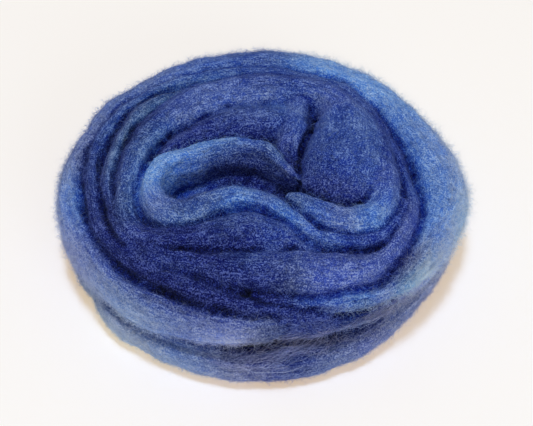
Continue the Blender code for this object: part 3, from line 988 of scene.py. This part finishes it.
def wisps(name, surface, count, seed):
    """Long crinkled strands drawn out of the tail end, loose across the parting below it."""
    rng = np.random.default_rng(seed)
    lock = rng.integers(0, WISP_LOCKS, count)

    def near(values, what):
        """Each fibre's share of its lock's value, with a little of its own."""
        return (values[lock] + rng.normal(0, OWN_WAY[what], count))[:, None]

    middle = near(rng.triangular(*WISP_BEARINGS, WISP_LOCKS), "bearing")
    reach = rng.uniform(*WISP_REACHES, count)[:, None] * MM
    s = np.linspace(-0.5, 0.5, WISP_KNOTS)[None, :]
    bearing = middle + np.degrees(reach / (WISPS_OUT * MM)) * s
    level = np.interp(bearing, *np.array(WISP_LEVELS).T)
    level += near(rng.normal(0, LOCK_LEVELS, WISP_LOCKS), "level")
    level += near(rng.normal(0, LOCK_SLOPES, WISP_LOCKS), "slope") * s
    turns = reach * s / (near(rng.uniform(*WISP_CRIMPS, WISP_LOCKS), "crimp") * MM)
    turns += near(rng.random(WISP_LOCKS), "phase")
    level += rng.uniform(*WISP_CRIMP_RISES, count)[:, None] * np.sin(tau * turns)
    level += rng.normal(0, WISP_SHAKE, level.shape)
    angle = np.radians(bearing)
    away = np.stack([np.cos(angle), np.sin(angle), np.zeros_like(angle)], axis=-1)
    start = away * WISPS_FROM * MM
    start[..., 2] = level * MM
    ground, up = np.empty_like(start), np.empty_like(start)
    for index in np.ndindex(angle.shape):
        hit, facing = surface.tree.ray_cast(Vector(start[index]), Vector(-away[index]))[:2]
        ground[index], up[index] = hit, facing
    out = (ground * away).sum(axis=-1)
    padded = np.pad(out, ((0, 0), (1, 1)), mode="edge")
    bridged = np.maximum.reduce([out, 0.5 * (padded[:, :-2] + padded[:, 2:])])
    stand = (WISP_STAND + rng.exponential(WISP_MORE_STAND, count))[:, None]
    stand = stand * np.sin(pi * (s + 0.5)) + WISP_ENDS
    paths = away * (bridged + np.minimum(stand, WISP_MOST_STAND) * MM)[..., None]
    paths[..., 2] = ground[..., 2]
    thickness = rng.uniform(0.6, 0.95, count) * FIBRE_THICKNESS * MM
    tints = np.array([linear(DYES[dye]) for dye in WISP_DYES])
    tint = tints[rng.choice(len(tints), count, p=list(WISP_DYES.values()))]
    return fibre_mesh(name, paths, up, thickness, shade_of(tint, rng, 0.25, 0.75))


# -------- stage
FLOOR_SIZE = 8.0
LIGHTS = (              # name, place, size (m), power (W) and tint
    ("overhead", (-0.06, -0.5, 3.2), 0.42, 57.0, "EAF1FF"),
    ("front_fill", (1.6, -3.4, 1.2), 2.4, 36.0, "FFF6EA"),
)
CAMERA_AIM = (0.002, -0.012, 0.030)
CAMERA_DISTANCE = 0.65
CAMERA_TILT = 45.0      # degrees up from straight down
CAMERA_SENSOR, CAMERA_LENS = 36.0, 90.9  # mm
NEAREST_SEEN = 0.01


def stage():
    """A matt white card under soft lights.

    The card glows faintly warm all over. That shows only as a tan edge under the wool,
    where the overhead light is shut off."""
    bpy.ops.object.select_all(action="DESELECT")
    bpy.ops.mesh.primitive_plane_add(size=FLOOR_SIZE, location=(0, 0, 0))
    floor = bpy.context.view_layer.objects.active
    floor.name = "floor"
    material, tree = new_material("matt_white_card")
    shader = add_node(tree, "ShaderNodeBsdfPrincipled", {},
                      {"Base Color": (*linear("C7DFF6"), 1), "Roughness": 0.9,
                       "Specular IOR Level": 0.0,
                       "Emission Color": (*linear("FFD68C"), 1), "Emission Strength": 0.5})
    add_node(tree, "ShaderNodeOutputMaterial", {}, {}, {"Surface": shader.outputs["BSDF"]})
    floor.data.materials.append(material)

    world = bpy.data.worlds.new("studio")
    bpy.context.scene.world = world
    world.use_nodes = True
    background = world.node_tree.nodes["Background"]
    background.inputs["Color"].default_value = (*linear("FFF7EC"), 1)
    background.inputs["Strength"].default_value = 0.295

    for name, place, size, power, tint in LIGHTS:
        data = bpy.data.lights.new(name, "AREA")
        data.shape = "DISK"
        data.size = size
        data.energy = power
        data.color = linear(tint)
        light = bpy.data.objects.new(name, data)
        light.location = place
        light.rotation_euler = (-Vector(place)).to_track_quat("-Z", "Y").to_euler()
        bpy.context.scene.collection.objects.link(light)


def camera():
    """Looks down on the nest from the front."""
    tilt = radians(CAMERA_TILT)
    data = bpy.data.cameras.new("camera")
    data.sensor_width = CAMERA_SENSOR
    data.lens = CAMERA_LENS
    data.clip_start = NEAREST_SEEN
    eye = bpy.data.objects.new("camera", data)
    eye.location = (Vector(CAMERA_AIM)
                    + CAMERA_DISTANCE * Vector((0, -sin(tilt), cos(tilt))))
    eye.rotation_euler = (tilt, 0, 0)
    bpy.context.scene.collection.objects.link(eye)
    bpy.context.scene.camera = eye


def dress(piece, material):
    """Give a finished piece its wool, and tie it to the part."""
    piece.data.materials.clear()
    piece.data.materials.append(material)
    pick_only(piece)
    bpy.ops.object.shade_smooth()
    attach(piece, "root")


camera()
stage()
bpy.context.scene.view_settings.view_transform = "Standard"

points, quads, dyes, lays, combed, stretch, caps = all_stretches()
skin = felted_skin(points, quads, caps)
dye, plain, lay = finish_skin(skin, points, quads, dyes, lays, combed, stretch)
# Combed merino, pressed close: quite matt, with its strands along the roving just showing.
dress(skin, woollen("combed_merino_wool", 0.95, 0.22, True))
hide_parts("roving")

surface = Surface(skin, dye, plain, lay)
# Single fibres of it: a little smoother than the mass, and more uneven from one to the next.
fibre = woollen("loose_wool_fibre", 0.75, 0.55, False)
for index in range(COAT_PIECES):
    dress(coat(f"coat_{index + 1}", surface, COAT_FIBRES, 100 + index), fibre)
for index in range(FUZZ_PIECES):
    dress(fuzz(f"fuzz_{index + 1}", surface, FUZZ_FIBRES, 150 + index), fibre)
dress(halo("halo", surface, HALO_FIBRES, 200), fibre)
dress(wisps("wisps", surface, WISP_FIBRES, 250), fibre)
